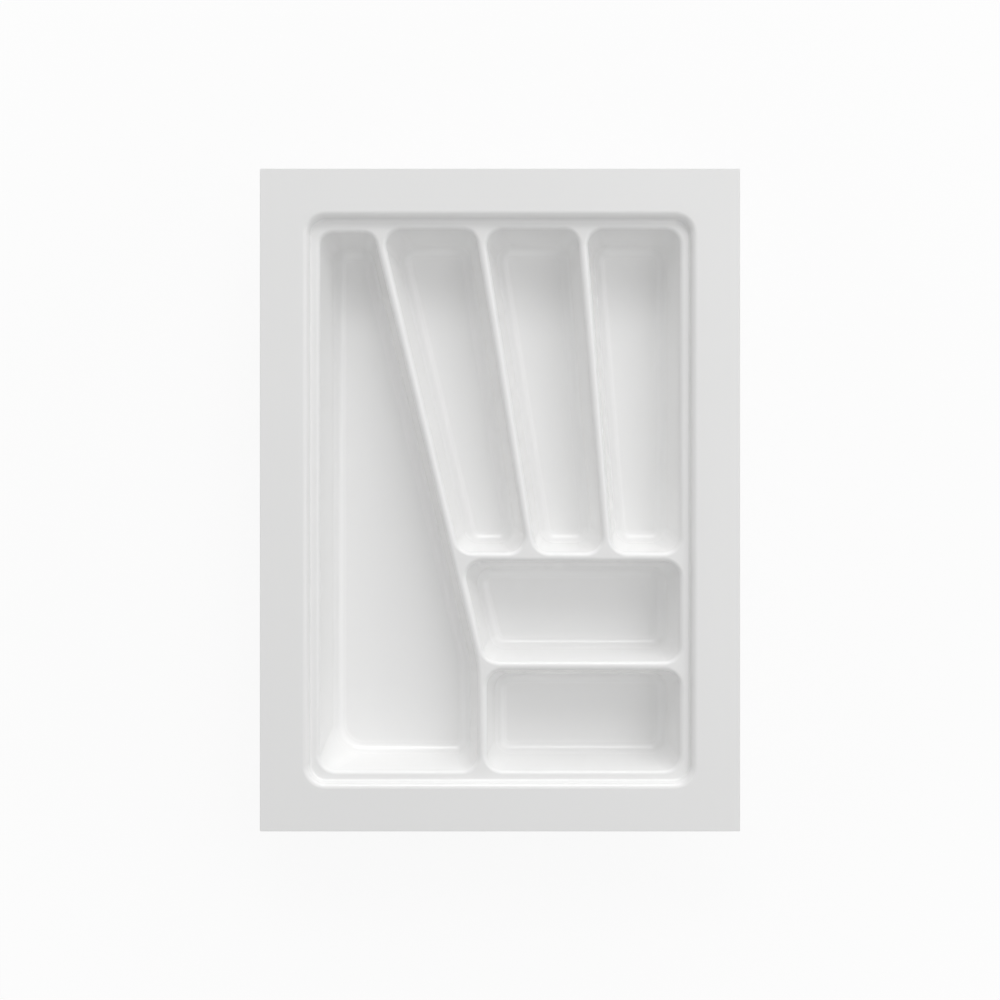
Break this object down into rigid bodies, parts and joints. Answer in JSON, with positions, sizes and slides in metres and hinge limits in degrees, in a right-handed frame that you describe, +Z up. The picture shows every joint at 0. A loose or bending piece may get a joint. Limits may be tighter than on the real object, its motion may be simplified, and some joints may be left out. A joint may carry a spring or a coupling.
{
  "type": "cutlery tray",
  "caption": "White one-piece plastic cutlery tray for a kitchen drawer, with a flat trim flange, a shallow stepped recess and drafted wells for utensils, cutlery and small items.",
  "frame": {"origin": "middle of the tray's outline, in the plane of the undersides of the wells that it stands on", "axes": "+X to the right, +Y to the back where the slanted wells are, +Z up out of the wells"},
  "size_m": [0.355, 0.49, 0.05],
  "materials": {
    "tray_plastic": "glossy white formed sheet"
  },
  "bodies": {
    "root": {"flange": "tray_plastic", "recess_step": "tray_plastic", "utensil_well": "tray_plastic", "knife_well": "tray_plastic", "fork_well": "tray_plastic", "spoon_well": "tray_plastic", "teaspoon_well": "tray_plastic", "sundries_well": "tray_plastic"}
  },
  "joints": []
}
